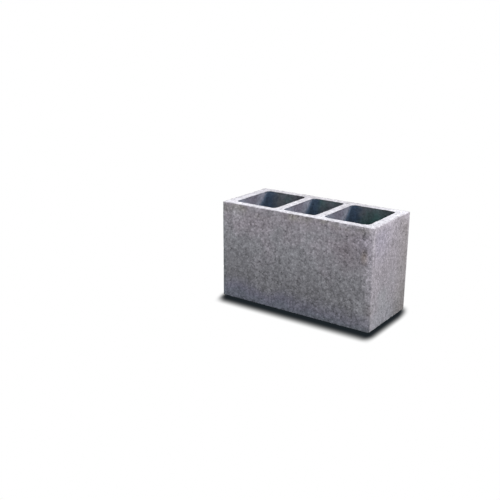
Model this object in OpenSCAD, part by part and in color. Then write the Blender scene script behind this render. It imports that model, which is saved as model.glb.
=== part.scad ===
// Ventilation block: a cast concrete block with three open upright cells in a row.
// Blocks stand on each other with their cells in line, and the cells become air ducts.
// Millimetres. +X runs along the row of cells, +Y to the back, +Z up.
// The origin is the centre of the underside.

/* [Block] */
// Length of the block, along the row of cells
block_length = 560; // [460:1:680]
// Depth of the block, from front to back
block_depth = 250; // [200:1:320]
// Height of the block, which is one course
block_height = 330; // [200:1:450]

/* [Walls] */
// Thickness of the two end walls
end_wall = 35; // [25:1:45]
// Thickness of the front and back walls
side_wall = 30; // [20:1:40]
// Thickness of the webs between the cells
web = 30; // [20:1:40]

/* [Cells] */
// Length of the middle cell, along the block
middle_cell_length = 120; // [80:1:160]
// Radius of the upright corners inside the cells
cell_corner_radius = 15; // [1:0.5:25]

/* [Edges] */
// Radius of the four upright outer edges
outer_edge_radius = 4; // [1:0.5:10]

/* [Hidden] */

// Smoothness of the preview
$fn = 64;
// How far a cutting shape runs past the face that it cuts
overrun = 5;

// The cells' depth, and the length that is left for each outer cell
cell_depth = block_depth - 2 * side_wall;
outer_cell_length = (block_length - 2 * end_wall - 2 * web - middle_cell_length) / 2;
// How far the outer cells' centres lie from the middle of the block
outer_cell_offset = (middle_cell_length + outer_cell_length) / 2 + web;

// One entry for each cell: where its centre lies along X, and its length
cells = [
    [-outer_cell_offset, outer_cell_length],
    [0, middle_cell_length],
    [outer_cell_offset, outer_cell_length]
];

// The largest share of a rectangle's shorter side that one rounded corner may take up
corner_share = 0.45;

// The radius that fits a rectangle: the one asked for, limited by the shorter side
function fitted_radius(length, depth, radius) = min(radius, corner_share * min(length, depth));

// A rectangle centred on the origin, with round corners
module rounded_rectangle(length, depth, radius) {
    r = fitted_radius(length, depth, radius);
    square([length - 2 * r, depth], center = true);
    square([length, depth - 2 * r], center = true);
    for (x = [-1, 1], y = [-1, 1])
        translate([x * (length / 2 - r), y * (depth / 2 - r)])
            circle(r = r);
}

// The block's outline, extruded to its height
module outer_form() {
    linear_extrude(height = block_height)
        rounded_rectangle(block_length, block_depth, outer_edge_radius);
}

// The core that leaves one cell open from the underside to the top
module cell_core(centre_x, length) {
    translate([centre_x, 0, -overrun])
        linear_extrude(height = block_height + 2 * overrun)
            rounded_rectangle(length, cell_depth, cell_corner_radius);
}

// The whole block, cast as one piece
module vent_block() {
    color([0.55, 0.54, 0.57])
        difference() {
            outer_form();
            for (cell = cells)
                cell_core(cell[0], cell[1]);
        }
}

vent_block();
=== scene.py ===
"""The looks of a cast concrete ventilation block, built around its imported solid.

The block is one piece: a shell with worn edges and an open, grainy skin takes the plain solid's place.
Lengths are metres, and the frame is the solid's own: +X along the row of cells, +Y to the back, +Z up.
"""
import logging
import math
import random
from dataclasses import dataclass
from enum import Enum

import bmesh
import bpy
from mathutils import Matrix, Vector, kdtree, noise


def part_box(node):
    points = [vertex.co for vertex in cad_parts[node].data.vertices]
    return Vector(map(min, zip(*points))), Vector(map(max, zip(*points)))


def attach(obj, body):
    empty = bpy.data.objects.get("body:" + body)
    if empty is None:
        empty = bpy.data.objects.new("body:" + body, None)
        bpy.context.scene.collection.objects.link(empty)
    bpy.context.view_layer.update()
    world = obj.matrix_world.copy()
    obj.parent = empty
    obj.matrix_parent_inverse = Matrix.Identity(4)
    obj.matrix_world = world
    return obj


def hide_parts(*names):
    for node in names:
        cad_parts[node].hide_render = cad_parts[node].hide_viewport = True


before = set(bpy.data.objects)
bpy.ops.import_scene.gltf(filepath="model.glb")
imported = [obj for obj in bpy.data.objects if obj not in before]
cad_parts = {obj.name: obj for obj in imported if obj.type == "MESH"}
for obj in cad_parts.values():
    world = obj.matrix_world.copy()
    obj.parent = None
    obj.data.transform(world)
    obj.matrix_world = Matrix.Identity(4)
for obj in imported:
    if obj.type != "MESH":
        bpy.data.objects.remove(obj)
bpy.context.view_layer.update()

MM = 0.001
NODE = "vent_block"
BODY = "root"
LOG = logging.getLogger("vent_block")

Tree = bpy.types.NodeTree
Socket = bpy.types.NodeSocket
# A material's patterns, masks and places, by name.
Fields = dict[str, Socket]

# Inputs and output of a Mix node set to RGBA, by number, because their names repeat.
MIX_A, MIX_B, MIX_RESULT = 6, 7, 2
WHITE = (1.0, 1.0, 1.0, 1.0)


def linear(hex_colour: str) -> tuple[float, ...]:
    """Turns an sRGB hex colour into the linear colour that a shader takes.

    Args:
        hex_colour: Six hex digits, such as "8c8a92".

    Returns:
        Linear red, green and blue, with an alpha of 1.
    """
    channels = [int(hex_colour[i:i + 2], 16) / 255 for i in (0, 2, 4)]
    return (*(c / 12.92 if c <= 0.04045 else ((c + 0.055) / 1.055) ** 2.4 for c in channels), 1.0)


def per_length(size: float) -> float:
    """The scale that makes a pattern on Object coordinates repeat about once in size, in metres."""
    return 1.0 / size


def fading(distance: float, reach: float) -> float:
    """Falls from 1 at an edge to 0 at the reach."""
    return max(0.0, 1 - distance / reach)


def add(tree: Tree, kind: str, inputs: dict[int | str, object] | None = None,
        **settings: object) -> bpy.types.Node:
    """Adds one shader node with its settings, values and links.

    Args:
        tree: The node tree that gets the node.
        kind: The node's type, without its "ShaderNode" prefix.
        inputs: Input name or number to a value, or to the output socket that feeds it.
        **settings: The node's own properties.

    Returns:
        The new node.
    """
    node = tree.nodes.new("ShaderNode" + kind)
    for name, value in settings.items():
        setattr(node, name, value)
    for key, value in (inputs or {}).items():
        if isinstance(value, Socket):
            tree.links.new(value, node.inputs[key])
        else:
            node.inputs[key].default_value = value
    return node


def weighted(tree: Tree, fields: Fields, weights: dict[str, float], offset: float = 0.0) -> Socket:
    """Adds up fields, each by its weight.

    Args:
        tree: The node tree.
        fields: The fields.
        weights: The weight of each field that counts.
        offset: What is added to them.

    Returns:
        The sum.
    """
    total = offset
    for name, weight in weights.items():
        total = add(tree, "Math", {0: fields[name], 1: weight, 2: total},
                    operation="MULTIPLY_ADD").outputs[0]
    return total


def looked_at(tree: Tree) -> Socket:
    """Tells the rays that show a surface from those that only bounce light off it.

    Args:
        tree: The node tree.

    Returns:
        1 for a ray from the camera, or one that comes by way of gloss or glass, and 0 for the others.
    """
    ray = add(tree, "LightPath").outputs
    shown = ray["Is Camera Ray"]
    for kind in ("Is Glossy Ray", "Is Transmission Ray"):
        shown = add(tree, "Math", {0: shown, 1: ray[kind]}, operation="MAXIMUM").outputs[0]
    return shown


def empty_material(name: str) -> bpy.types.Material:
    """Makes a material that has nodes on and none in it.

    Args:
        name: The material's name.

    Returns:
        The material.
    """
    material = bpy.data.materials.new(name)
    material.use_nodes = True
    material.node_tree.nodes.clear()
    return material


class Mark(Enum):
    """What the mesh says about each of its points, by the name of the attribute that holds it."""

    CELL_WALL = "cell_wall"
    CELL_SHARE = "cell_share"
    RUB_AND_HIGHLIGHT = "rub_and_highlight"
    BED_SKIN = "bed_skin"


# How far each pattern moves the brightness, on the long faces and on the smoother ends and beds.
MOULD_SWINGS = {"grain": 0.7, "speck": 1.0, "clump": 0.8, "sand": 1.6, "patch": 0.3, "mottle": 0.15,
                "streak": 0.4, "pale": 0.75, "pore": -0.35}
PLATE_SWINGS = {"grain": 0.15, "speck": 1.15, "clump": 0.5, "sand": 1.9, "patch": 0.45, "mottle": 0.2,
                "streak": 0.3, "pale": 0.15, "pore": -0.4}
# Patterns whose middle is not a half: most grains are dull, and pores and pale grains are sparse.
PATTERN_MIDDLES = {"grain": 0.28, "pale": 0.0, "pore": 0.0}


@dataclass(frozen=True)
class Stain:
    """A soft-edged stain or bloom round one place on the block.

    Attributes:
        colour: Its hex colour.
        place: Its middle.
        core: How far out it is at its strongest.
        reach: How far out it ends.
        most: Its share at its strongest.
        tall: How many times taller than wide it is.
    """

    colour: str
    place: tuple[float, float, float]
    core: float
    reach: float
    most: float
    tall: float = 1.0

    def share(self, tree: Tree, place: Socket) -> Socket:
        """Finds how much of the stain shows.

        Args:
            tree: The material's node tree.
            place: The point's place.

        Returns:
            The share, from 0 to most.
        """
        away = add(tree, "VectorMath", {0: place, 1: self.place}, operation="SUBTRACT").outputs[0]
        away = add(tree, "VectorMath", {0: away, 1: (1, 1, 1 / self.tall)}, operation="MULTIPLY").outputs[0]
        away = add(tree, "VectorMath", {0: away}, operation="LENGTH").outputs["Value"]
        return add(tree, "MapRange", {0: away, 1: self.core, 2: self.reach, 3: self.most, 4: 0.0}).outputs[0]


@dataclass(frozen=True)
class PressedConcrete:
    """Vibration-pressed lightweight-aggregate concrete, left as it came out of the mould.

    The eye gets a matte grey of small pale and dark grains with open pores between them, faint upright
    drag marks from the mould, paler struck-off beds that partly carry painted light, a darker, cooler foot,
    and cells darkened with painted shade.

    Attributes:
        top: Height of the top bed above the floor.
        cell_side: How far the cells' long walls lie from the block's middle plane.
        matrix: Colour of the bare skin.
        mauve: Its colour higher up.
        lower_tone: Colour that the faces darken to towards the bottom.
        foot: Colour of the foot.
        teal: Teal tint along the foot's edge and down the left edges.
        moss: Colour of the moss below the top arrises.
        warm: Colour that the ends take on towards the back.
        rub_and_highlight: Colour of the arrises worn pale, which also carries a painted highlight there.
        bed: Colour of the pale skin on the beds: the struck-off skin, partly painted light from above.
        end_lit: Painted highlight on a cell's end wall beside the painted shadow.
        end_mauve: The end wall's colour further from that shadow.
        cell_shade_grey: Painted shade on the cells' long walls, and in the painted shadow on their end walls,
            where nothing tints it.
        cell_shade_green: Green tint of that painted shade, more of it towards the right.
        cell_reflection_blue: Painted blue reflection in that shade, by one end wall of a cell.
        cell_shade_brown: Deeper, browner painted shade by the other.
        lip_shadow: Painted shadow, a dark line under a cell's lip.
        stains: What has marked the block in one place each.
        sand_size: Size of the sand.
        grain_size: Size of the rounded grains.
        speck_size: Size of the pale and dark specks.
        clump_size: Size of the clumps of grains.
        patch_size: Size of the patches of like grain.
        mottle_size: Size of the slow clouds.
        pore_spacing: Distance between the places where a pore can lie.
        pale_spacing: Distance between the places where a pale grain can lie.
        streak_width: Width of the mould's drag marks.
        streak_length: Their length.
        darkening_top: Height at which the long faces begin to darken downwards.
        darkening_foot: Height below which they are darkest.
        foot_height: Height of the cooler, darker foot band.
        darkening_wander: How far the darkening's upper borders wander either way.
        shadow_slope: How far the painted shadow reaches round a cell's corner for each metre of depth.
        shadow_fringe: Width of its ragged border.
        relief: Height of the grains in the bump.
        roughness: The shader's roughness, a dry mineral surface's.
        ior: Its index of refraction.
    """

    top: float
    cell_side: float
    matrix: str = "a6a5a9"
    mauve: str = "a9a2a8"
    lower_tone: str = "8a898c"
    foot: str = "848397"
    teal: str = "70807f"
    moss: str = "9b9987"
    warm: str = "938d89"
    rub_and_highlight: str = "c9c2c9"
    bed: str = "e0dee3"
    end_lit: str = "a0a2b1"
    end_mauve: str = "888493"
    cell_shade_grey: str = "6f757b"
    cell_shade_green: str = "50716e"
    cell_reflection_blue: str = "566b85"
    cell_shade_brown: str = "59545b"
    lip_shadow: str = "26292c"
    stains: tuple[Stain, ...] = (
        # Pale lime bloom: two patches high on the front and one low, and two at the top of the right end.
        Stain("bebcc0", (-226 * MM, -125 * MM, 303 * MM), 6 * MM, 43 * MM, 0.55),
        Stain("c4c2c6", (190 * MM, -125 * MM, 328 * MM), 20 * MM, 58 * MM, 0.6, 0.25),
        Stain("b4b3b7", (250 * MM, -125 * MM, 74 * MM), 8 * MM, 32 * MM, 0.7),
        Stain("c6bec6", (280 * MM, -8 * MM, 310 * MM), 8 * MM, 58 * MM, 0.75),
        Stain("c6bec6", (280 * MM, 106 * MM, 328 * MM), 6 * MM, 38 * MM, 0.7),
        # Dirt low on the arris between the front and that end, and lavender bloom beside it on the end.
        Stain("6f6b69", (280 * MM, -125 * MM, 68 * MM), 4 * MM, 30 * MM, 0.75),
        Stain("aaa4b5", (280 * MM, -80 * MM, 285 * MM), 10 * MM, 95 * MM, 0.6),
        # A dull smear on the front, a darkening at the end's far foot, and a run of iron on the front.
        Stain("8d858a", (200 * MM, -125 * MM, 236 * MM), 15 * MM, 85 * MM, 0.7),
        Stain("77726f", (280 * MM, 125 * MM, 0.0), 10 * MM, 130 * MM, 0.8),
        Stain("85735a", (253 * MM, -125 * MM, 237 * MM), 4 * MM, 17 * MM, 0.5, 1.8))
    sand_size: float = 1.7 * MM
    grain_size: float = 5.5 * MM
    speck_size: float = 9 * MM
    clump_size: float = 15 * MM
    patch_size: float = 30 * MM
    mottle_size: float = 75 * MM
    pore_spacing: float = 9 * MM
    pale_spacing: float = 8 * MM
    streak_width: float = 9 * MM
    streak_length: float = 140 * MM
    darkening_top: float = 275 * MM
    darkening_foot: float = 55 * MM
    foot_height: float = 85 * MM
    darkening_wander: float = 40 * MM
    shadow_slope: float = 0.95
    shadow_fringe: float = 24 * MM
    relief: float = 0.9 * MM
    roughness: float = 0.93
    ior: float = 1.5

    def build(self) -> bpy.types.Material:
        """Makes the material.

        Returns:
            The finished material.
        """
        material = empty_material("pressed_concrete")
        tree = material.node_tree
        fields = self.places(tree)
        fields |= self.patterns(tree, fields["place"])
        colour = self.weathered(tree, fields)
        colour = self.in_cells(tree, fields, colour)
        # Pale wear by the arrises with a painted highlight, then the beds' pale skin, which is partly painted
        # light from above.
        for share, coat in ((self.rub_and_highlight_share(tree, fields), self.rub_and_highlight),
                            (self.struck_and_lit_share(tree, fields), self.bed)):
            colour = add(tree, "Mix", {0: share, MIX_A: colour, MIX_B: linear(coat)},
                         data_type="RGBA").outputs[MIX_RESULT]
        colour = self.grained(tree, fields, colour)
        shader = add(tree, "BsdfPrincipled", {"Base Color": colour, "Roughness": self.roughness,
                                              "IOR": self.ior, "Normal": self.bumps(tree, fields)})
        add(tree, "OutputMaterial", {"Surface": shader.outputs[0]})
        return material

    def places(self, tree: Tree) -> Fields:
        """Reads where a point lies, which way it faces, and what the mesh says about it.

        Args:
            tree: The material's node tree.

        Returns:
            The point's place, x, y, height and depth below the top, how far aside of the middle plane it
            lies, how far it faces along Y and up or down, and the mesh's marks.
        """
        coordinates = add(tree, "TexCoord")
        x, y, height = add(tree, "SeparateXYZ", {0: coordinates.outputs["Object"]}).outputs
        _, facing_y, facing_z = add(tree, "SeparateXYZ", {0: coordinates.outputs["Normal"]}).outputs
        fields = {"place": coordinates.outputs["Object"], "x": x, "y": y, "height": height}
        for name, signed in (("along", facing_y), ("up", facing_z), ("aside", y)):
            fields[name] = add(tree, "Math", {0: signed}, operation="ABSOLUTE").outputs[0]
        fields["depth"] = add(tree, "Math", {0: self.top, 1: height}, operation="SUBTRACT").outputs[0]
        for mark in Mark:
            fields[mark.value] = add(tree, "Attribute", attribute_name=mark.value).outputs["Fac"]
        return fields

    def patterns(self, tree: Tree, place: Socket) -> Fields:
        """Makes the grain patterns that the colour and the relief share.

        Args:
            tree: The material's node tree.
            place: The point's place.

        Returns:
            Each pattern by name.
        """
        # A little drift in the coordinates keeps the grains from looking like straight-sided cells.
        drift = add(tree, "TexNoise", {"Vector": place, "Scale": per_length(self.sand_size), "Detail": 1.0})
        bent = add(tree, "VectorMath", {0: drift.outputs["Color"], 1: (0.5, 0.5, 0.5)}, operation="SUBTRACT")
        bent = add(tree, "VectorMath", {0: bent.outputs[0], "Scale": self.grain_size * 0.6},
                   operation="SCALE").outputs[0]
        bent = add(tree, "VectorMath", {0: place, 1: bent}, operation="ADD").outputs[0]
        grain = add(tree, "TexVoronoi", {"Vector": bent, "Scale": per_length(self.grain_size)})
        # Each grain has a shade of its own, most often a dull one, and darkens towards its rim.
        shade = add(tree, "SeparateColor", {0: grain.outputs["Color"]}).outputs[0]
        shade = add(tree, "Math", {0: shade, 1: 1.6}, operation="POWER").outputs[0]
        lumps = add(tree, "MapRange", {0: grain.outputs["Distance"], 1: 0.2, 2: 0.8, 3: 1.0, 4: 0.4},
                    interpolation_type="SMOOTHSTEP").outputs[0]
        fields = {"lumps": lumps}
        fields["grain"] = add(tree, "Math", {0: shade, 1: lumps}, operation="MULTIPLY").outputs[0]

        # A pore or a pale grain fills its cell as far as the cell's random number says.
        for name, spacing, least, most, soft in (("pore", self.pore_spacing, 0.45, 0.38, 0.12),
                                                 ("pale", self.pale_spacing, 0.5, 0.5, 0.2)):
            dots = add(tree, "TexVoronoi", {"Vector": bent, "Scale": per_length(spacing)}).outputs
            luck = add(tree, "SeparateColor", {0: dots["Color"]}).outputs[1]
            reach = add(tree, "MapRange", {0: luck, 1: least, 2: 1.0, 3: 0.0, 4: most}).outputs[0]
            inside = add(tree, "Math", {0: reach, 1: dots["Distance"]}, operation="SUBTRACT").outputs[0]
            fields[name] = add(tree, "MapRange", {0: inside, 1: 0.0, 2: soft}).outputs[0]

        across = per_length(self.streak_width)
        drawn = add(tree, "VectorMath", {0: place, 1: (across, across, per_length(self.streak_length))},
                    operation="MULTIPLY").outputs[0]
        sizes = {"clump": self.clump_size, "speck": self.speck_size, "sand": self.sand_size,
                 "patch": self.patch_size, "mottle": self.mottle_size}
        for name, at, scale in (*((name, place, per_length(size)) for name, size in sizes.items()),
                                ("streak", drawn, 1.0)):
            cloud = add(tree, "TexNoise", {"Vector": at, "Scale": scale, "Detail": 3.0})
            fields[name] = cloud.outputs["Fac"]
        return fields

    def weathered(self, tree: Tree, fields: Fields) -> Socket:
        """Colours the bare skin: mauve to grey, darker towards a cooler foot, most on the long faces.

        Args:
            tree: The material's node tree.
            fields: The patterns and places.

        Returns:
            The colour.
        """
        tint = weighted(tree, fields, {"mottle": 1.0, "height": 2.0, "along": -0.3})
        tint = add(tree, "MapRange", {0: tint, 1: 0.52, 2: 0.8}).outputs[0]
        level = weighted(tree, fields, {"height": 1.0, "mottle": 2 * self.darkening_wander}, -self.darkening_wander)
        # The ends darken about a quarter as much, and the foot band is thinner to the right.
        even = add(tree, "MapRange", {0: fields["along"], 3: 0.28, 4: 1.0}).outputs[0]
        thinner = add(tree, "MapRange", {0: fields["x"], 1: -40 * MM, 2: 270 * MM,
                                         3: 1.0, 4: 0.55}).outputs[0]
        thinner = add(tree, "Math", {0: even, 1: thinner}, operation="MULTIPLY").outputs[0]
        coats = [(tint, self.mauve)]
        for band_colour, share, start, end, most in ((self.lower_tone, even, self.darkening_top, self.darkening_foot, 1.0),
                                              (self.foot, thinner, self.foot_height, 10 * MM, 0.75),
                                              (self.teal, even, 34 * MM, 5 * MM, 0.3)):
            amount = add(tree, "MapRange", {0: level, 1: end, 2: start, 3: most, 4: 0.0},
                         interpolation_type="SMOOTHSTEP").outputs[0]
            coats.append((add(tree, "Math", {0: amount, 1: share}, operation="MULTIPLY").outputs[0], band_colour))
        coats += self.growths(tree, fields)
        coats += [(stain.share(tree, fields["place"]), stain.colour) for stain in self.stains]
        colour = linear(self.matrix)
        for share, coat in coats:
            colour = add(tree, "Mix", {0: share, MIX_A: colour, MIX_B: linear(coat)},
                         data_type="RGBA").outputs[MIX_RESULT]
        return colour

    def growths(self, tree: Tree, fields: Fields) -> list[tuple[Socket, str]]:
        """Lists the moss and teal tint on the faces, and the warm cast on the far side of the ends.

        Moss grows below the top arrises of the long faces, and a teal tint runs down their left edges.

        Args:
            tree: The material's node tree.
            fields: The patterns and places.

        Returns:
            How much of each shows, and its colour.
        """
        mossy = add(tree, "MapRange", {0: fields["depth"], 1: 40 * MM, 2: 12 * MM, 3: 0.0, 4: 0.5}).outputs[0]
        patches = add(tree, "MapRange", {0: fields["mottle"], 1: 0.45, 2: 0.6}).outputs[0]
        mossy = add(tree, "Math", {0: mossy, 1: patches}, operation="MULTIPLY").outputs[0]
        left_teal = add(tree, "MapRange", {0: fields["x"], 1: -277 * MM, 2: -262 * MM,
                                       3: 0.35, 4: 0.0}).outputs[0]
        on_ends = add(tree, "Math", {0: 1.0, 1: fields["along"]}, operation="SUBTRACT").outputs[0]
        warm = add(tree, "MapRange", {0: fields["y"], 1: 30 * MM, 2: 125 * MM, 3: 0.0, 4: 0.8}).outputs[0]
        return [(add(tree, "Math", {0: share, 1: side}, operation="MULTIPLY").outputs[0], growth)
                for share, side, growth in ((mossy, fields["along"], self.moss),
                                            (left_teal, fields["along"], self.teal), (warm, on_ends, self.warm))]

    def in_cells(self, tree: Tree, fields: Fields, colour: Socket) -> Socket:
        """Colours the cells with painted shade, shadow and highlight, and their end walls' own colour.

        The long walls get painted shade: blue by one end wall as a painted reflection of it, grey with green
        in places in the middle, and deeper and brown by the other. A painted shadow reaches from them round
        the corners onto the end walls, with a painted highlight just past it.

        Args:
            tree: The material's node tree.
            fields: The patterns and places.
            colour: The colour so far, which the outer faces keep.

        Returns:
            The colour with the cells' painted shade, shadow and highlight.
        """
        # Painted shade on the cells' long walls: grey, greener to the right, with a painted blue reflection
        # by one end wall and a deeper brown shade by the other.
        green = weighted(tree, fields, {"mottle": 1.0, "x": 0.9})
        green = add(tree, "MapRange", {0: green, 1: 0.44, 2: 0.68}).outputs[0]
        across = weighted(tree, fields, {"cell_share": 1.0, "clump": 0.3})
        blue = add(tree, "MapRange", {0: across, 1: 0.22, 2: 0.42, 3: 0.9, 4: 0.0}).outputs[0]
        brown = add(tree, "MapRange", {0: across, 1: 0.75, 2: 1.05, 3: 0.0, 4: 0.8}).outputs[0]
        cell_shade = linear(self.cell_shade_grey)
        for share, tint in ((green, self.cell_shade_green), (blue, self.cell_reflection_blue), (brown, self.cell_shade_brown)):
            cell_shade = add(tree, "Mix", {0: share, MIX_A: cell_shade, MIX_B: linear(tint)},
                       data_type="RGBA").outputs[MIX_RESULT]

        # Painted shadow on the end walls: it reaches further round the corners the deeper it goes, with a
        # ragged, soft border, and just past it the end wall carries a painted highlight.
        past = weighted(tree, fields, {"aside": -1.0, "depth": -self.shadow_slope, "streak": self.shadow_fringe},
                        self.cell_side - self.shadow_fringe / 2)
        lit_share = add(tree, "MapRange", {0: past, 1: 2 * MM, 2: 24 * MM}).outputs[0]
        mauve = add(tree, "MapRange", {0: past, 1: 30 * MM, 2: 65 * MM}).outputs[0]
        # Painted shadow: a dark line just under each cell's lip.
        lip_shadow = add(tree, "MapRange", {0: fields["depth"], 1: 7 * MM, 2: 1 * MM, 3: 0.0, 4: 0.45}).outputs[0]
        wall = add(tree, "Mix", {0: mauve, MIX_A: linear(self.end_lit), MIX_B: linear(self.end_mauve)},
                   data_type="RGBA").outputs[MIX_RESULT]
        wall = add(tree, "Mix", {0: lit_share, MIX_A: cell_shade, MIX_B: wall}, data_type="RGBA").outputs[MIX_RESULT]
        wall = add(tree, "Mix", {0: lip_shadow, MIX_A: wall, MIX_B: linear(self.lip_shadow)},
                   data_type="RGBA").outputs[MIX_RESULT]
        return add(tree, "Mix", {0: fields["cell_wall"], MIX_A: colour, MIX_B: wall},
                   data_type="RGBA").outputs[MIX_RESULT]

    def rub_and_highlight_share(self, tree: Tree, fields: Fields) -> Socket:
        """Finds how much pale wear and painted highlight shows by the arrises, with a ragged border drawn out
        along the mould's drag marks.

        Args:
            tree: The material's node tree.
            fields: The patterns and places.

        Returns:
            The share, from 0 to 1.
        """
        ragged = weighted(tree, fields, {"clump": 0.4, "streak": 0.6, "rub_and_highlight": 1.0}, -0.5)
        present = add(tree, "MapRange", {0: fields["rub_and_highlight"], 1: 0.0, 2: 0.2}).outputs[0]
        share = add(tree, "MapRange", {0: ragged, 1: 0.0, 2: 1.2}).outputs[0]
        return add(tree, "Math", {0: share, 1: present}, operation="MULTIPLY").outputs[0]

    def struck_and_lit_share(self, tree: Tree, fields: Fields) -> Socket:
        """Finds the top bed's pale skin, struck off and partly painted light where it faces up; it is thin to
        the back and gone where an arris is worn.

        Args:
            tree: The material's node tree.
            fields: The patterns and places.

        Returns:
            How much of the skin shows, from 0 to 1.
        """
        # Painted light in part: the skin shows more the more the surface faces up.
        level = add(tree, "MapRange", {0: fields["up"], 1: 0.6, 2: 0.9}).outputs[0]
        near_top = add(tree, "MapRange", {0: fields["depth"], 1: 14 * MM, 2: 6 * MM}).outputs[0]
        kept = weighted(tree, fields, {"clump": 1.6, "bed_skin": 1.0}, -0.8)
        share = add(tree, "MapRange", {0: kept, 1: 0.1, 2: 0.75, 3: 0.35, 4: 1.0}).outputs[0]
        # The back right corner is as whole as the front.
        whole = add(tree, "MapRange", {0: fields["x"], 1: 100 * MM, 2: 240 * MM, 3: 0.0, 4: 210 * MM})
        back = add(tree, "Math", {0: fields["y"], 1: whole.outputs[0]}, operation="SUBTRACT").outputs[0]
        thinner = add(tree, "MapRange", {0: back, 1: -100 * MM, 2: 110 * MM, 3: 1.0, 4: 0.64}).outputs[0]
        for mask in (level, near_top, thinner):
            share = add(tree, "Math", {0: share, 1: mask}, operation="MULTIPLY").outputs[0]
        return share

    def grained(self, tree: Tree, fields: Fields, colour: Socket) -> Socket:
        """Breaks the colour up into grains, sand, clumps, drag marks, pores and pale grains.

        Args:
            tree: The material's node tree.
            fields: The patterns and places.
            colour: The colour so far.

        Returns:
            The grainy colour.
        """
        # The ends, the beds and the cells came off smoother plates than the long faces did.
        mould = add(tree, "Math", {0: fields["along"], 1: fields["cell_wall"]}, operation="SUBTRACT",
                    use_clamp=True).outputs[0]
        tones = []
        for swings in (PLATE_SWINGS, MOULD_SWINGS):
            middle = sum(swing * PATTERN_MIDDLES.get(name, 0.5) for name, swing in swings.items())
            tones.append(weighted(tree, fields, swings, -middle))
        tone = add(tree, "Mix", {0: mould, 2: tones[0], 3: tones[1]}).outputs[0]
        # Some patches are rougher than others.
        uneven = add(tree, "MapRange", {0: fields["mottle"], 1: 0.35, 2: 0.65, 3: 0.85, 4: 1.15}).outputs[0]
        tone = add(tree, "Math", {0: tone, 1: uneven, 2: 1.0}, operation="MULTIPLY_ADD").outputs[0]
        return add(tree, "VectorMath", {0: colour, "Scale": tone}, operation="SCALE").outputs[0]

    def bumps(self, tree: Tree, fields: Fields) -> Socket:
        """Raises rounded grains with sand on them, and sinks the pores between them.

        Args:
            tree: The material's node tree.
            fields: The patterns and places.

        Returns:
            The bumped normal.
        """
        rise = weighted(tree, fields, {"lumps": 1.0, "sand": 0.6, "pore": -0.8})
        return add(tree, "Bump", {"Height": rise, "Distance": self.relief, "Strength": 0.7}).outputs[0]


@dataclass(frozen=True)
class StudioFloor:
    """A pale floor that stays white to the eye and keeps the block's shade.

    The shade is what a softbox high above and behind the block would throw: the foot's outline swept
    forwards along throw, with a blurred edge.

    Attributes:
        half: Half the size of the block's foot.
        size: Side of the square floor.
        throw: How far the shade reaches past the foot, along X and Y.
        blurs: Width of the shade's soft edge across X, across Y and across the throw.
        fade: How fast the shade lightens towards its edge; higher is darker.
        paint: The floor's own colour, which the bouncing light sees.
        core: The darkest shade.
    """

    half: Vector
    size: float = 12.0
    throw: tuple[float, float] = (20 * MM, -43 * MM)
    blurs: tuple[float, float, float] = (39 * MM, 72 * MM, 31 * MM)
    fade: float = 2.5
    paint: str = "bcbcbc"
    core: str = "1d2327"

    def shade(self, tree: Tree) -> Socket:
        """Works out how much of the softbox the block hides, from 0 to 1.

        Args:
            tree: The floor's node tree.

        Returns:
            The hidden share, which is where three pairs of soft-edged borders overlap.
        """
        throw = Vector((*self.throw, 0))
        place = add(tree, "TexCoord").outputs["Object"]
        centred = add(tree, "VectorMath", {0: place, 1: tuple(throw / 2)}, operation="SUBTRACT").outputs[0]
        hidden = 1.0
        directions = (Vector((1, 0, 0)), Vector((0, 1, 0)), throw.orthogonal().normalized())
        for across, blur in zip(directions, self.blurs):
            reach = sum(abs(across[i]) * self.half[i] for i in (0, 1)) + abs(across.dot(throw)) / 2
            offset = add(tree, "VectorMath", {0: centred, 1: tuple(across)}, operation="DOT_PRODUCT")
            offset = add(tree, "Math", {0: offset.outputs["Value"]}, operation="ABSOLUTE").outputs[0]
            inside = add(tree, "MapRange", {0: offset, 1: reach - blur / 2, 2: reach + blur / 2,
                                            3: 1.0, 4: 0.0}, interpolation_type="SMOOTHSTEP").outputs[0]
            hidden = add(tree, "Math", {0: inside, 1: hidden}, operation="MULTIPLY").outputs[0]
        return hidden

    def material(self) -> bpy.types.Material:
        """Makes pale paint for the light that bounces, and white with the block's shade for what is seen.

        Returns:
            The floor's material.
        """
        material = empty_material("floor_paint")
        tree = material.node_tree
        open_share = add(tree, "Math", {0: 1.0, 1: self.shade(tree)}, operation="SUBTRACT").outputs[0]
        open_share = add(tree, "Math", {0: open_share, 1: self.fade}, operation="POWER").outputs[0]
        shown = add(tree, "Mix", {0: open_share, MIX_A: linear(self.core), MIX_B: WHITE},
                    data_type="RGBA").outputs[MIX_RESULT]
        seen = add(tree, "Emission", {"Color": shown, "Strength": 1.0})
        paint = add(tree, "BsdfDiffuse", {"Color": linear(self.paint)})
        surface = add(tree, "MixShader", {0: looked_at(tree), 1: paint.outputs[0], 2: seen.outputs[0]})
        add(tree, "OutputMaterial", {"Surface": surface.outputs[0]})
        return material

    def build(self, level: float) -> bpy.types.Object:
        """Lays the floor.

        Args:
            level: Height of the floor.

        Returns:
            The floor.
        """
        bm = bmesh.new()
        bmesh.ops.create_grid(bm, x_segments=1, y_segments=1, size=self.size / 2)
        bmesh.ops.translate(bm, vec=(0, 0, level), verts=bm.verts)
        mesh = bpy.data.meshes.new("studio_floor")
        bm.to_mesh(mesh)
        bm.free()
        floor = bpy.data.objects.new("studio_floor", mesh)
        bpy.context.collection.objects.link(floor)
        mesh.materials.append(self.material())
        return floor


@dataclass(frozen=True)
class Chipping:
    """How an edge has chipped.

    Attributes:
        per_metre: How many chips it has for each metre.
        largest: Radius of its largest chip.
    """

    per_metre: float
    largest: float


@dataclass(frozen=True)
class Arris:
    """One straight edge of the block that can chip.

    Attributes:
        start: One end of the edge.
        end: The other end.
        outward: Direction that points away from the concrete, halfway between its two faces.
        chips: Its chips.
    """

    start: Vector
    end: Vector
    outward: Vector
    chips: Chipping


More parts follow.
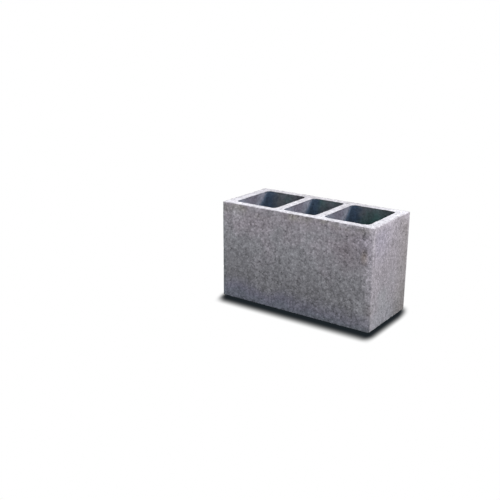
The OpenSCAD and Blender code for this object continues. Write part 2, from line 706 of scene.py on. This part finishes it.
@dataclass(frozen=True)
class RubAndHighlight:
    """Where the skin is paler by the upright outer arrises: worn pale by handling, with a painted highlight
    on and beside the arris.

    An end has a bright line by the arris, a faint spread past it, and a band along its top. A long face has
    a softer line, weak right under the bed, and a thin band along its top.

    Attributes:
        spared: Height of the foot that little knocks against.
        rise: Height above it over which the knocks grow to their full strength.
        end_line: Width of an end's line.
        end_upper: Depth below the top bed down to which that line is brighter still.
        end_spread: Width of its spread.
        end_band: Depth of its band.
        side_line: Width of a long face's line.
        side_weak: Depth below the top bed over which that line gains its strength.
        side_band: Depth of its band.
    """

    spared: float = 45 * MM
    rise: float = 150 * MM
    end_line: float = 14 * MM
    end_upper: float = 110 * MM
    end_spread: float = 170 * MM
    end_band: float = 22 * MM
    side_line: float = 38 * MM
    side_weak: float = 40 * MM
    side_band: float = 12 * MM


# How pale each upright outer arris is, from wear and a painted highlight, by whether it lies at positive X
# and at positive Y.
CORNER_RUB_AND_HIGHLIGHT = {(True, False): 1.0, (True, True): 0.6, (False, False): 0.2, (False, True): 0.45}
# Rounding that is let pass when places are compared.
SLACK = 0.01 * MM
# Sends neighbouring pits to cells of the noise that lie far apart, so that their luck is unlike.
SCATTER = 31.7


@dataclass
class ConcreteBlock:
    """The block as one shell: walls, webs, three open cells, worn edges and a grainy skin.

    Attributes:
        low: The block's lowest corner.
        high: Its highest corner.
        end_wall: Thickness of the walls across its ends.
        side_wall: Thickness of its long walls.
        web: Thickness of the two webs between the cells.
        middle_cell: Length of the middle cell.
        cell_corner_radius: Radius of the cells' upright corners.
        outer_edge_radius: Radius of the upright outer arrises.
        mesh_step: Side of a mesh square on the outer faces and beds.
        cell_row_step: Height of a mesh row inside the cells.
        wave_size: Size of the slow waves that the mould leaves.
        wave_depth: How deep they are.
        grain_size: Size of the grains.
        sand_size: Size of the sand between them.
        grain_depth: How deep grains and sand go together.
        pit_spacing: Distance between the places where a pit can lie.
        pit_luck: Luck, from 0 to 1, above which such a place has a pit.
        pit_depth: How deep a pit is.
        bed_relief: Share of the relief that a struck-off bed keeps.
        end_wear: How far in from the ends a bed's skin is thin.
        side_wear: How far in from the long faces it is.
        side_chips: Chips of the beds' long outer arrises.
        top_end_chips: Chips of the top bed's arrises at the ends.
        foot_end_chips: Chips of the foot's arrises at the ends.
        mouth_chips: Chips of the cells' mouths.
        upright_chips: Chips of the upright outer arrises.
        arris_rub_and_highlight: Pale wear and painted highlight by those arrises.
        seed: Picks where the chips fall.
    """

    low: Vector
    high: Vector
    end_wall: float = 35 * MM
    side_wall: float = 30 * MM
    web: float = 30 * MM
    middle_cell: float = 120 * MM
    cell_corner_radius: float = 15 * MM
    outer_edge_radius: float = 4 * MM
    mesh_step: float = 3 * MM
    cell_row_step: float = 10 * MM
    wave_size: float = 110 * MM
    wave_depth: float = 0.25 * MM
    grain_size: float = 7.5 * MM
    sand_size: float = 3.6 * MM
    grain_depth: float = 0.5 * MM
    pit_spacing: float = 17 * MM
    pit_luck: float = 0.45
    pit_depth: float = 1.8 * MM
    bed_relief: float = 0.75
    end_wear: float = 14 * MM
    side_wear: float = 9 * MM
    side_chips: Chipping = Chipping(26, 4.5 * MM)
    top_end_chips: Chipping = Chipping(60, 6.5 * MM)
    foot_end_chips: Chipping = Chipping(30, 5 * MM)
    mouth_chips: Chipping = Chipping(30, 4.5 * MM)
    upright_chips: Chipping = Chipping(30, 5 * MM)
    arris_rub_and_highlight: RubAndHighlight = RubAndHighlight()
    seed: int = 7

    def __post_init__(self) -> None:
        """Works out where the cells lie."""
        self.size = self.high - self.low
        outer_cell = (self.size.x - 2 * self.end_wall - 2 * self.web - self.middle_cell) / 2
        half = self.middle_cell / 2
        self.cells_x = [(-half - self.web - outer_cell, -half - self.web), (-half, half),
                        (half + self.web, half + self.web + outer_cell)]
        self.cells_y = (self.low.y + self.side_wall, self.high.y - self.side_wall)

    def inside_cell(self, x: float, y: float) -> bool:
        """Tells whether a point of the plan lies within a cell's square-cornered outline.

        Args:
            x: The point's place along the row of cells.
            y: Its place across the row.

        Returns:
            True if it does.
        """
        return self.cells_y[0] - SLACK < y < self.cells_y[1] + SLACK and any(
            x0 - SLACK < x < x1 + SLACK for x0, x1 in self.cells_x)

    def stations(self, borders: list[float]) -> list[float]:
        """Spaces the mesh lines along one axis.

        Args:
            borders: Places where a line has to be, in order.

        Returns:
            Every line between the first border and the last, about mesh_step apart.
        """
        lines = []
        for start, end in zip(borders, borders[1:]):
            steps = max(1, round((end - start) / self.mesh_step))
            lines += [start + (end - start) * i / steps for i in range(1, steps + 1)]
        return lines[:-1]

    def plan(self) -> bmesh.types.BMesh:
        """Draws the walls and webs as seen from above, in small squares, with rounded cell corners.

        Returns:
            The plan, flat at a height of nought.
        """
        bm = bmesh.new()
        bmesh.ops.create_grid(bm, x_segments=1, y_segments=1, size=0.5)
        bmesh.ops.scale(bm, vec=(self.size.x, self.size.y, 1), verts=bm.verts)
        r = self.cell_corner_radius
        cell_borders = [x for x0, x1 in self.cells_x for x in (x0, x0 + r, x1 - r, x1)]
        borders_x = [self.low.x, *cell_borders, self.high.x]
        y0, y1 = self.cells_y
        borders_y = [self.low.y, y0, y0 + r, y1 - r, y1, self.high.y]
        for normal, lines in (((0, 1, 0), self.stations(borders_y)), ((1, 0, 0), self.stations(borders_x))):
            for line in lines:
                bmesh.ops.bisect_plane(bm, geom=[*bm.verts, *bm.edges, *bm.faces], dist=SLACK,
                                       plane_co=Vector(normal) * line, plane_no=normal)
        open_faces = [f for f in bm.faces if self.inside_cell(*f.calc_center_median().xy)]
        bmesh.ops.delete(bm, geom=open_faces, context="FACES")
        for x0, x1 in self.cells_x:
            for corner, toward in ((Vector((x0, y0)), (1, 1)), (Vector((x1, y0)), (-1, 1)),
                                   (Vector((x1, y1)), (-1, -1)), (Vector((x0, y1)), (1, -1))):
                self.add_fillet(bm, corner, toward)
        bmesh.ops.remove_doubles(bm, verts=bm.verts, dist=5 * SLACK)
        self.round_outer_corners(bm)
        return bm

    def add_fillet(self, bm: bmesh.types.BMesh, corner: Vector, toward: tuple[int, int]) -> None:
        """Fills a square cell corner up to its rounded one.

        Args:
            bm: The plan.
            corner: The square corner.
            toward: Signs of the two directions that point into the cell.
        """
        r = self.cell_corner_radius
        steps = 2 * round(r / self.mesh_step)
        patch = bmesh.ops.create_grid(bm, x_segments=steps, y_segments=1, size=1)
        for vert in patch["verts"]:
            along = (vert.co.x + 1) / 2
            if vert.co.y < 0:
                reach_x, reach_y = max(0, 1 - 2 * along), max(0, 2 * along - 1)
            else:
                angle = along * math.pi / 2
                reach_x, reach_y = 1 - math.sin(angle), 1 - math.cos(angle)
            vert.co = (corner.x + toward[0] * r * reach_x, corner.y + toward[1] * r * reach_y, 0)

    def round_outer_corners(self, bm: bmesh.types.BMesh) -> None:
        """Pulls the plan's outer corners in to the radius of the upright arrises.

        Args:
            bm: The plan.
        """
        r = self.outer_edge_radius
        half_x, half_y = self.size.x / 2 - r, self.size.y / 2 - r
        for vert in bm.verts:
            over = Vector((abs(vert.co.x) - half_x, abs(vert.co.y) - half_y))
            if over.x > 0 and over.y > 0 and over.length > r:
                over *= r / over.length
                vert.co.x = math.copysign(half_x + over.x, vert.co.x)
                vert.co.y = math.copysign(half_y + over.y, vert.co.y)

    def raise_walls(self, bm: bmesh.types.BMesh) -> None:
        """Extrudes the plan to the block's height and cuts the walls into rows.

        Args:
            bm: The plan, which becomes the shell.
        """
        raised = bmesh.ops.extrude_face_region(bm, geom=bm.faces[:])
        upper = [v for v in raised["geom"] if isinstance(v, bmesh.types.BMVert)]
        bmesh.ops.translate(bm, vec=(0, 0, self.size.z), verts=upper)
        upright = [e for e in bm.edges if abs(e.verts[0].co.z - e.verts[1].co.z) > self.size.z / 2]
        within = [e for e in upright if self.inside_cell(*e.verts[0].co.xy)]
        held = set(within)
        outside = [e for e in upright if e not in held]
        for edges, step in ((outside, self.mesh_step), (within, self.cell_row_step)):
            bmesh.ops.subdivide_edges(bm, edges=edges, cuts=round(self.size.z / step) - 1, use_grid_fill=True)
        # The cells' coarse rows get one more line by each bed, so that their lips can chip.
        for height in (self.mesh_step, self.size.z - self.mesh_step):
            bmesh.ops.bisect_plane(bm, geom=[*bm.verts, *bm.edges, *bm.faces], dist=SLACK,
                                   plane_co=(0, 0, height), plane_no=(0, 0, 1))
        bmesh.ops.translate(bm, vec=(0, 0, self.low.z), verts=bm.verts)
        bmesh.ops.recalc_face_normals(bm, faces=bm.faces)

    def rub_and_highlight_at(self, place: Vector) -> float:
        """Finds how far pale wear and painted highlight show: by the upright outer arrises, most above mid
        height.

        Args:
            place: The place, on the shell.

        Returns:
            The paleness, from 0 to about 1.
        """
        if self.inside_cell(*place.xy):
            return 0.0
        from_x, from_y = self.high.x - abs(place.x), self.high.y - abs(place.y)
        from_top = self.high.z - place.z
        corner_share = CORNER_RUB_AND_HIGHLIGHT[place.x > 0, place.y > 0]
        rub_light = self.arris_rub_and_highlight
        upper = 1 - fading(place.z - self.low.z - rub_light.spared, rub_light.rise)
        on_end = from_x < from_y
        if max(from_x, from_y) < self.outer_edge_radius:
            return corner_share * (0.2 + 0.85 * upper) * (1.0 if on_end else 0.7)
        if on_end:
            line = min(1.0, 1.8 * fading(from_y, rub_light.end_line))
            line *= 0.45 * upper + 0.45 * fading(from_top, rub_light.end_upper)
            spread, band = fading(from_y, rub_light.end_spread), fading(from_top, rub_light.end_band)
            return corner_share * (line + 0.25 * spread + 0.8 * band)
        line = fading(from_x, rub_light.side_line) * (0.25 + 0.45 * upper)
        line *= min(1.0, 0.4 + from_top / rub_light.side_weak)
        # The band along a long face's top is strongest by the arrises.
        band = fading(from_top, rub_light.side_band) * abs(place.x) / self.high.x
        return corner_share * (line + 0.35 * band)

    def cell_share_at(self, place: Vector) -> float:
        """Finds how far across its cell a place lies.

        Args:
            place: The place.

        Returns:
            0 at the cell's end wall at lower X, 1 at the other, and 0 outside the cells.
        """
        for x0, x1 in self.cells_x:
            if x0 <= place.x <= x1:
                return (place.x - x0) / (x1 - x0)
        return 0.0

    def bed_skin_at(self, place: Vector) -> float:
        """Finds how much of a bed's struck-off skin is left.

        Args:
            place: The place, on a bed.

        Returns:
            From 0 at a worn outer arris to 1.
        """
        from_end = (self.high.x - abs(place.x)) / self.end_wear
        from_side = (self.high.y - abs(place.y)) / self.side_wear
        return min(1.0, from_end, from_side)

    def arrises(self) -> list[Arris]:
        """Lists the edges that chip: both beds' outlines and cell mouths, and the upright outer edges.

        Returns:
            The edges.
        """
        found = []
        low, high = self.low, self.high
        for z, up, end_chips in ((low.z, -1, self.foot_end_chips), (high.z, 1, self.top_end_chips)):
            # A cell's mouth faces into the cell, and the outline of a bed away from it.
            rings = [((low.x, high.x), (low.y, high.y), -1, self.side_chips, end_chips)]
            rings += [(cell, self.cells_y, 1, self.mouth_chips, self.mouth_chips) for cell in self.cells_x]
            for (x0, x1), (y0, y1), inward, long_chips, short_chips in rings:
                for y, side in ((y0, inward), (y1, -inward)):
                    found.append(Arris(Vector((x0, y, z)), Vector((x1, y, z)), Vector((0, side, up)),
                                       long_chips))
                for x, side in ((x0, inward), (x1, -inward)):
                    found.append(Arris(Vector((x, y0, z)), Vector((x, y1, z)), Vector((side, 0, up)),
                                       short_chips))
        # The upright arrises lie in from the box's corners, because they are rounded.
        inset = self.outer_edge_radius * (1 - math.sqrt(0.5))
        for x, side_x in ((low.x + inset, -1), (high.x - inset, 1)):
            for y, side_y in ((low.y + inset, -1), (high.y - inset, 1)):
                found.append(Arris(Vector((x, y, low.z)), Vector((x, y, high.z)),
                                   Vector((side_x, side_y, 0)), self.upright_chips))
        return found

    def chip_edges(self, bm: bmesh.types.BMesh) -> None:
        """Bites small rounded chips out of the edges, where handling has knocked grains off.

        Args:
            bm: The shell.
        """
        rng = random.Random(self.seed)
        verts = list(bm.verts)
        tree = kdtree.KDTree(len(verts))
        for index, vert in enumerate(verts):
            tree.insert(vert.co, index)
        tree.balance()
        for arris in self.arrises():
            outward = arris.outward.normalized()
            length = (arris.end - arris.start).length
            for _ in range(round(length * arris.chips.per_metre)):
                # The smallest is a third of the largest, and small ones are commoner.
                radius = arris.chips.largest * (0.35 + 0.65 * rng.random() ** 2)
                # The ball that bites has its centre off the edge, so the chip is shallow.
                centre = arris.start.lerp(arris.end, rng.random()) + outward * radius * rng.uniform(0.25, 0.6)
                for _, index, _ in tree.find_range(centre, radius):
                    away = verts[index].co - centre
                    if away.length > SLACK:
                        verts[index].co = centre + away.normalized() * radius

    def relief_at(self, place: Vector) -> float:
        """Finds how far the skin is sunk: by slow waves of the mould, grains, sand and scattered pits.

        Args:
            place: The place, on the plain shell.

        Returns:
            The depth.
        """
        wave = 0.5 + 0.5 * noise.noise(place / self.wave_size)
        # The grains' pattern is moved aside, so that its nodes don't fall on the sand's.
        grain = 0.5 + 0.5 * noise.noise(place / self.grain_size + Vector((9.1, 2.7, 4.4)))
        sand = 0.5 + 0.5 * noise.noise(place / self.sand_size)
        depth = self.wave_depth * wave + self.grain_depth * (0.8 * grain + 0.2 * sand)
        # Each place where a pit can lie has a luck of its own, and the luckier ones have wider pits.
        (near, *_), (spot, *_) = noise.voronoi(place / self.pit_spacing)
        luck = 0.5 + 0.5 * noise.cell(spot * SCATTER)
        if luck > self.pit_luck:
            reach = 0.12 + 0.2 * (luck - self.pit_luck)
            depth += self.pit_depth * max(0.0, 1 - (near / reach) ** 2)
        return depth

    def roughen(self, bm: bmesh.types.BMesh) -> None:
        """Sinks each vertex by the skin's relief.

        Args:
            bm: The shell.
        """
        bm.normal_update()
        for vert in bm.verts:
            on_bed = not self.low.z + SLACK <= vert.co.z <= self.high.z - SLACK
            vert.co -= vert.normal * self.relief_at(vert.co) * (self.bed_relief if on_bed else 1.0)

    def soften_edges(self, bm: bmesh.types.BMesh) -> None:
        """Wears the sharp edges round, more in some places than in others.

        Args:
            bm: The shell.
        """
        sharp = math.radians(35)
        stretch = 9 * MM
        # The first pass takes in most of each edge, and the second only the more worn stretches.
        for threshold in (-0.35, -0.05):
            worn = [v for v in bm.verts if any(e.calc_face_angle(0) > sharp for e in v.link_edges)
                    and noise.noise(v.co / stretch) > threshold]
            bmesh.ops.smooth_vert(bm, verts=worn, factor=0.45, use_axis_x=True, use_axis_y=True,
                                  use_axis_z=True)

    def build(self, material: bpy.types.Material) -> bpy.types.Object:
        """Models the block and dresses it.

        Args:
            material: The concrete.

        Returns:
            The block, riding on the frame's body in place of the plain solid.
        """
        bm = self.plan()
        self.raise_walls(bm)
        bm.verts.index_update()
        # The marks are read off the plain shell, before wear moves its vertices.
        marks = {Mark.CELL_WALL: [float(self.inside_cell(*v.co.xy)) for v in bm.verts],
                 Mark.CELL_SHARE: [self.cell_share_at(v.co) for v in bm.verts],
                 Mark.RUB_AND_HIGHLIGHT: [self.rub_and_highlight_at(v.co) for v in bm.verts],
                 Mark.BED_SKIN: [self.bed_skin_at(v.co) for v in bm.verts]}
        self.soften_edges(bm)
        self.chip_edges(bm)
        self.roughen(bm)
        for face in bm.faces:
            face.smooth = True
        mesh = bpy.data.meshes.new("concrete_block")
        bm.to_mesh(mesh)
        bm.free()
        for mark, values in marks.items():
            mesh.attributes.new(mark.value, "FLOAT", "POINT").data.foreach_set("value", values)
        mesh.materials.append(material)
        block = bpy.data.objects.new("concrete_block", mesh)
        bpy.context.collection.objects.link(block)
        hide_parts(NODE)
        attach(block, BODY)
        return block


@dataclass(frozen=True)
class Viewpoint:
    """Where the camera stands, as a look direction and the block's place in it.

    Attributes:
        azimuth: Degrees round the block, with 0 looking along +Y.
        elevation: Degrees above the horizon.
        roll: Degrees that the camera leans, anticlockwise from behind it.
        distance: From the camera to the block's centre, along the look direction.
        right: How far right of the look direction the block's centre lies.
        below: How far below the look direction it lies.
        lens: Focal length in millimetres.
        sensor: Width of the sensor in millimetres.
    """

    azimuth: float = 35.93
    elevation: float = 17.63
    roll: float = 0.22
    distance: float = 2.4715
    right: float = 0.208
    below: float = 0.0156
    lens: float = 53.71
    sensor: float = 36.0

    def build(self, centre: Vector) -> bpy.types.Object:
        """Sets up the scene's camera.

        Args:
            centre: The block's centre.

        Returns:
            The camera.
        """
        a, e = math.radians(self.azimuth), math.radians(self.elevation)
        back = Vector((math.sin(a) * math.cos(e), -math.cos(a) * math.cos(e), math.sin(e)))
        right = Vector((math.cos(a), math.sin(a), 0))
        turn = Matrix((right, back.cross(right), back)).transposed()
        turn = turn @ Matrix.Rotation(math.radians(self.roll), 3, "Z")
        place = centre - turn @ Vector((self.right, -self.below, -self.distance))
        data = bpy.data.cameras.new("camera")
        data.lens, data.sensor_width = self.lens, self.sensor
        camera = bpy.data.objects.new("camera", data)
        camera.matrix_world = Matrix.Translation(place) @ turn.to_4x4()
        bpy.context.collection.objects.link(camera)
        bpy.context.scene.camera = camera
        return camera


@dataclass(frozen=True)
class SoftLamp:
    """A square studio lamp that points at the block.

    Attributes:
        name: The lamp's name.
        direction: Direction from the block to the lamp.
        distance: How far away it hangs.
        width: Side of its square.
        level: How bright a white surface that faces it renders.
        tint: Colour of its light.
    """

    name: str
    direction: tuple[float, float, float]
    distance: float
    width: float
    level: float
    tint: str = "ffffff"

    def build(self, target: Vector) -> bpy.types.Object:
        """Hangs the lamp and aims it.

        Args:
            target: The place that it lights.

        Returns:
            The lamp.
        """
        toward = Vector(self.direction).normalized()
        data = bpy.data.lights.new(self.name, "AREA")
        data.size = self.width
        data.energy = self.level * math.pi ** 2 * self.distance ** 2
        data.color = linear(self.tint)[:3]
        lamp = bpy.data.objects.new(self.name, data)
        lamp.location = target + toward * self.distance
        lamp.rotation_mode = "QUATERNION"
        lamp.rotation_quaternion = toward.to_track_quat("Z", "Y")
        bpy.context.collection.objects.link(lamp)
        return lamp


def light_world(level: float, tint: str) -> None:
    """Fills the scene with even light and shows white behind the block.

    Args:
        level: Strength of the even light.
        tint: Colour of the even light.
    """
    world = bpy.data.worlds.new("studio")
    world.use_nodes = True
    world.node_tree.nodes.clear()
    tree = world.node_tree
    fill = add(tree, "Background", {"Color": linear(tint), "Strength": level})
    white = add(tree, "Background", {"Color": WHITE, "Strength": 1.0})
    shown = add(tree, "MixShader", {0: looked_at(tree), 1: fill.outputs[0], 2: white.outputs[0]})
    add(tree, "OutputWorld", {"Surface": shown.outputs[0]})
    bpy.context.scene.world = world


def main() -> None:
    """Builds the block, the floor, the lamp and the camera."""
    logging.basicConfig(level=logging.INFO, format="%(name)s: %(message)s")
    low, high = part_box(NODE)
    centre = (low + high) / 2
    camera = Viewpoint().build(centre)
    LOG.info("%s at %s", camera.name, tuple(round(c, 3) for c in camera.matrix_world.translation))
    model = ConcreteBlock(low, high)
    block = model.build(PressedConcrete(top=high.z, cell_side=model.cells_y[1]).build())
    LOG.info("%s: %d vertices, %d faces", block.name, len(block.data.vertices), len(block.data.polygons))
    floor = StudioFloor(half=(high - low) / 2).build(low.z)
    LOG.info("%s laid", floor.name)
    lamp = SoftLamp("key_lamp", direction=(0.40, 0.65, 0.85), distance=7.0, width=2.3,
                    level=0.60).build(centre)
    LOG.info("%s hung", lamp.name)
    light_world(level=0.74, tint="f8faff")
    bpy.context.scene.view_settings.view_transform = "Standard"


if __name__ == "__main__":
    main()
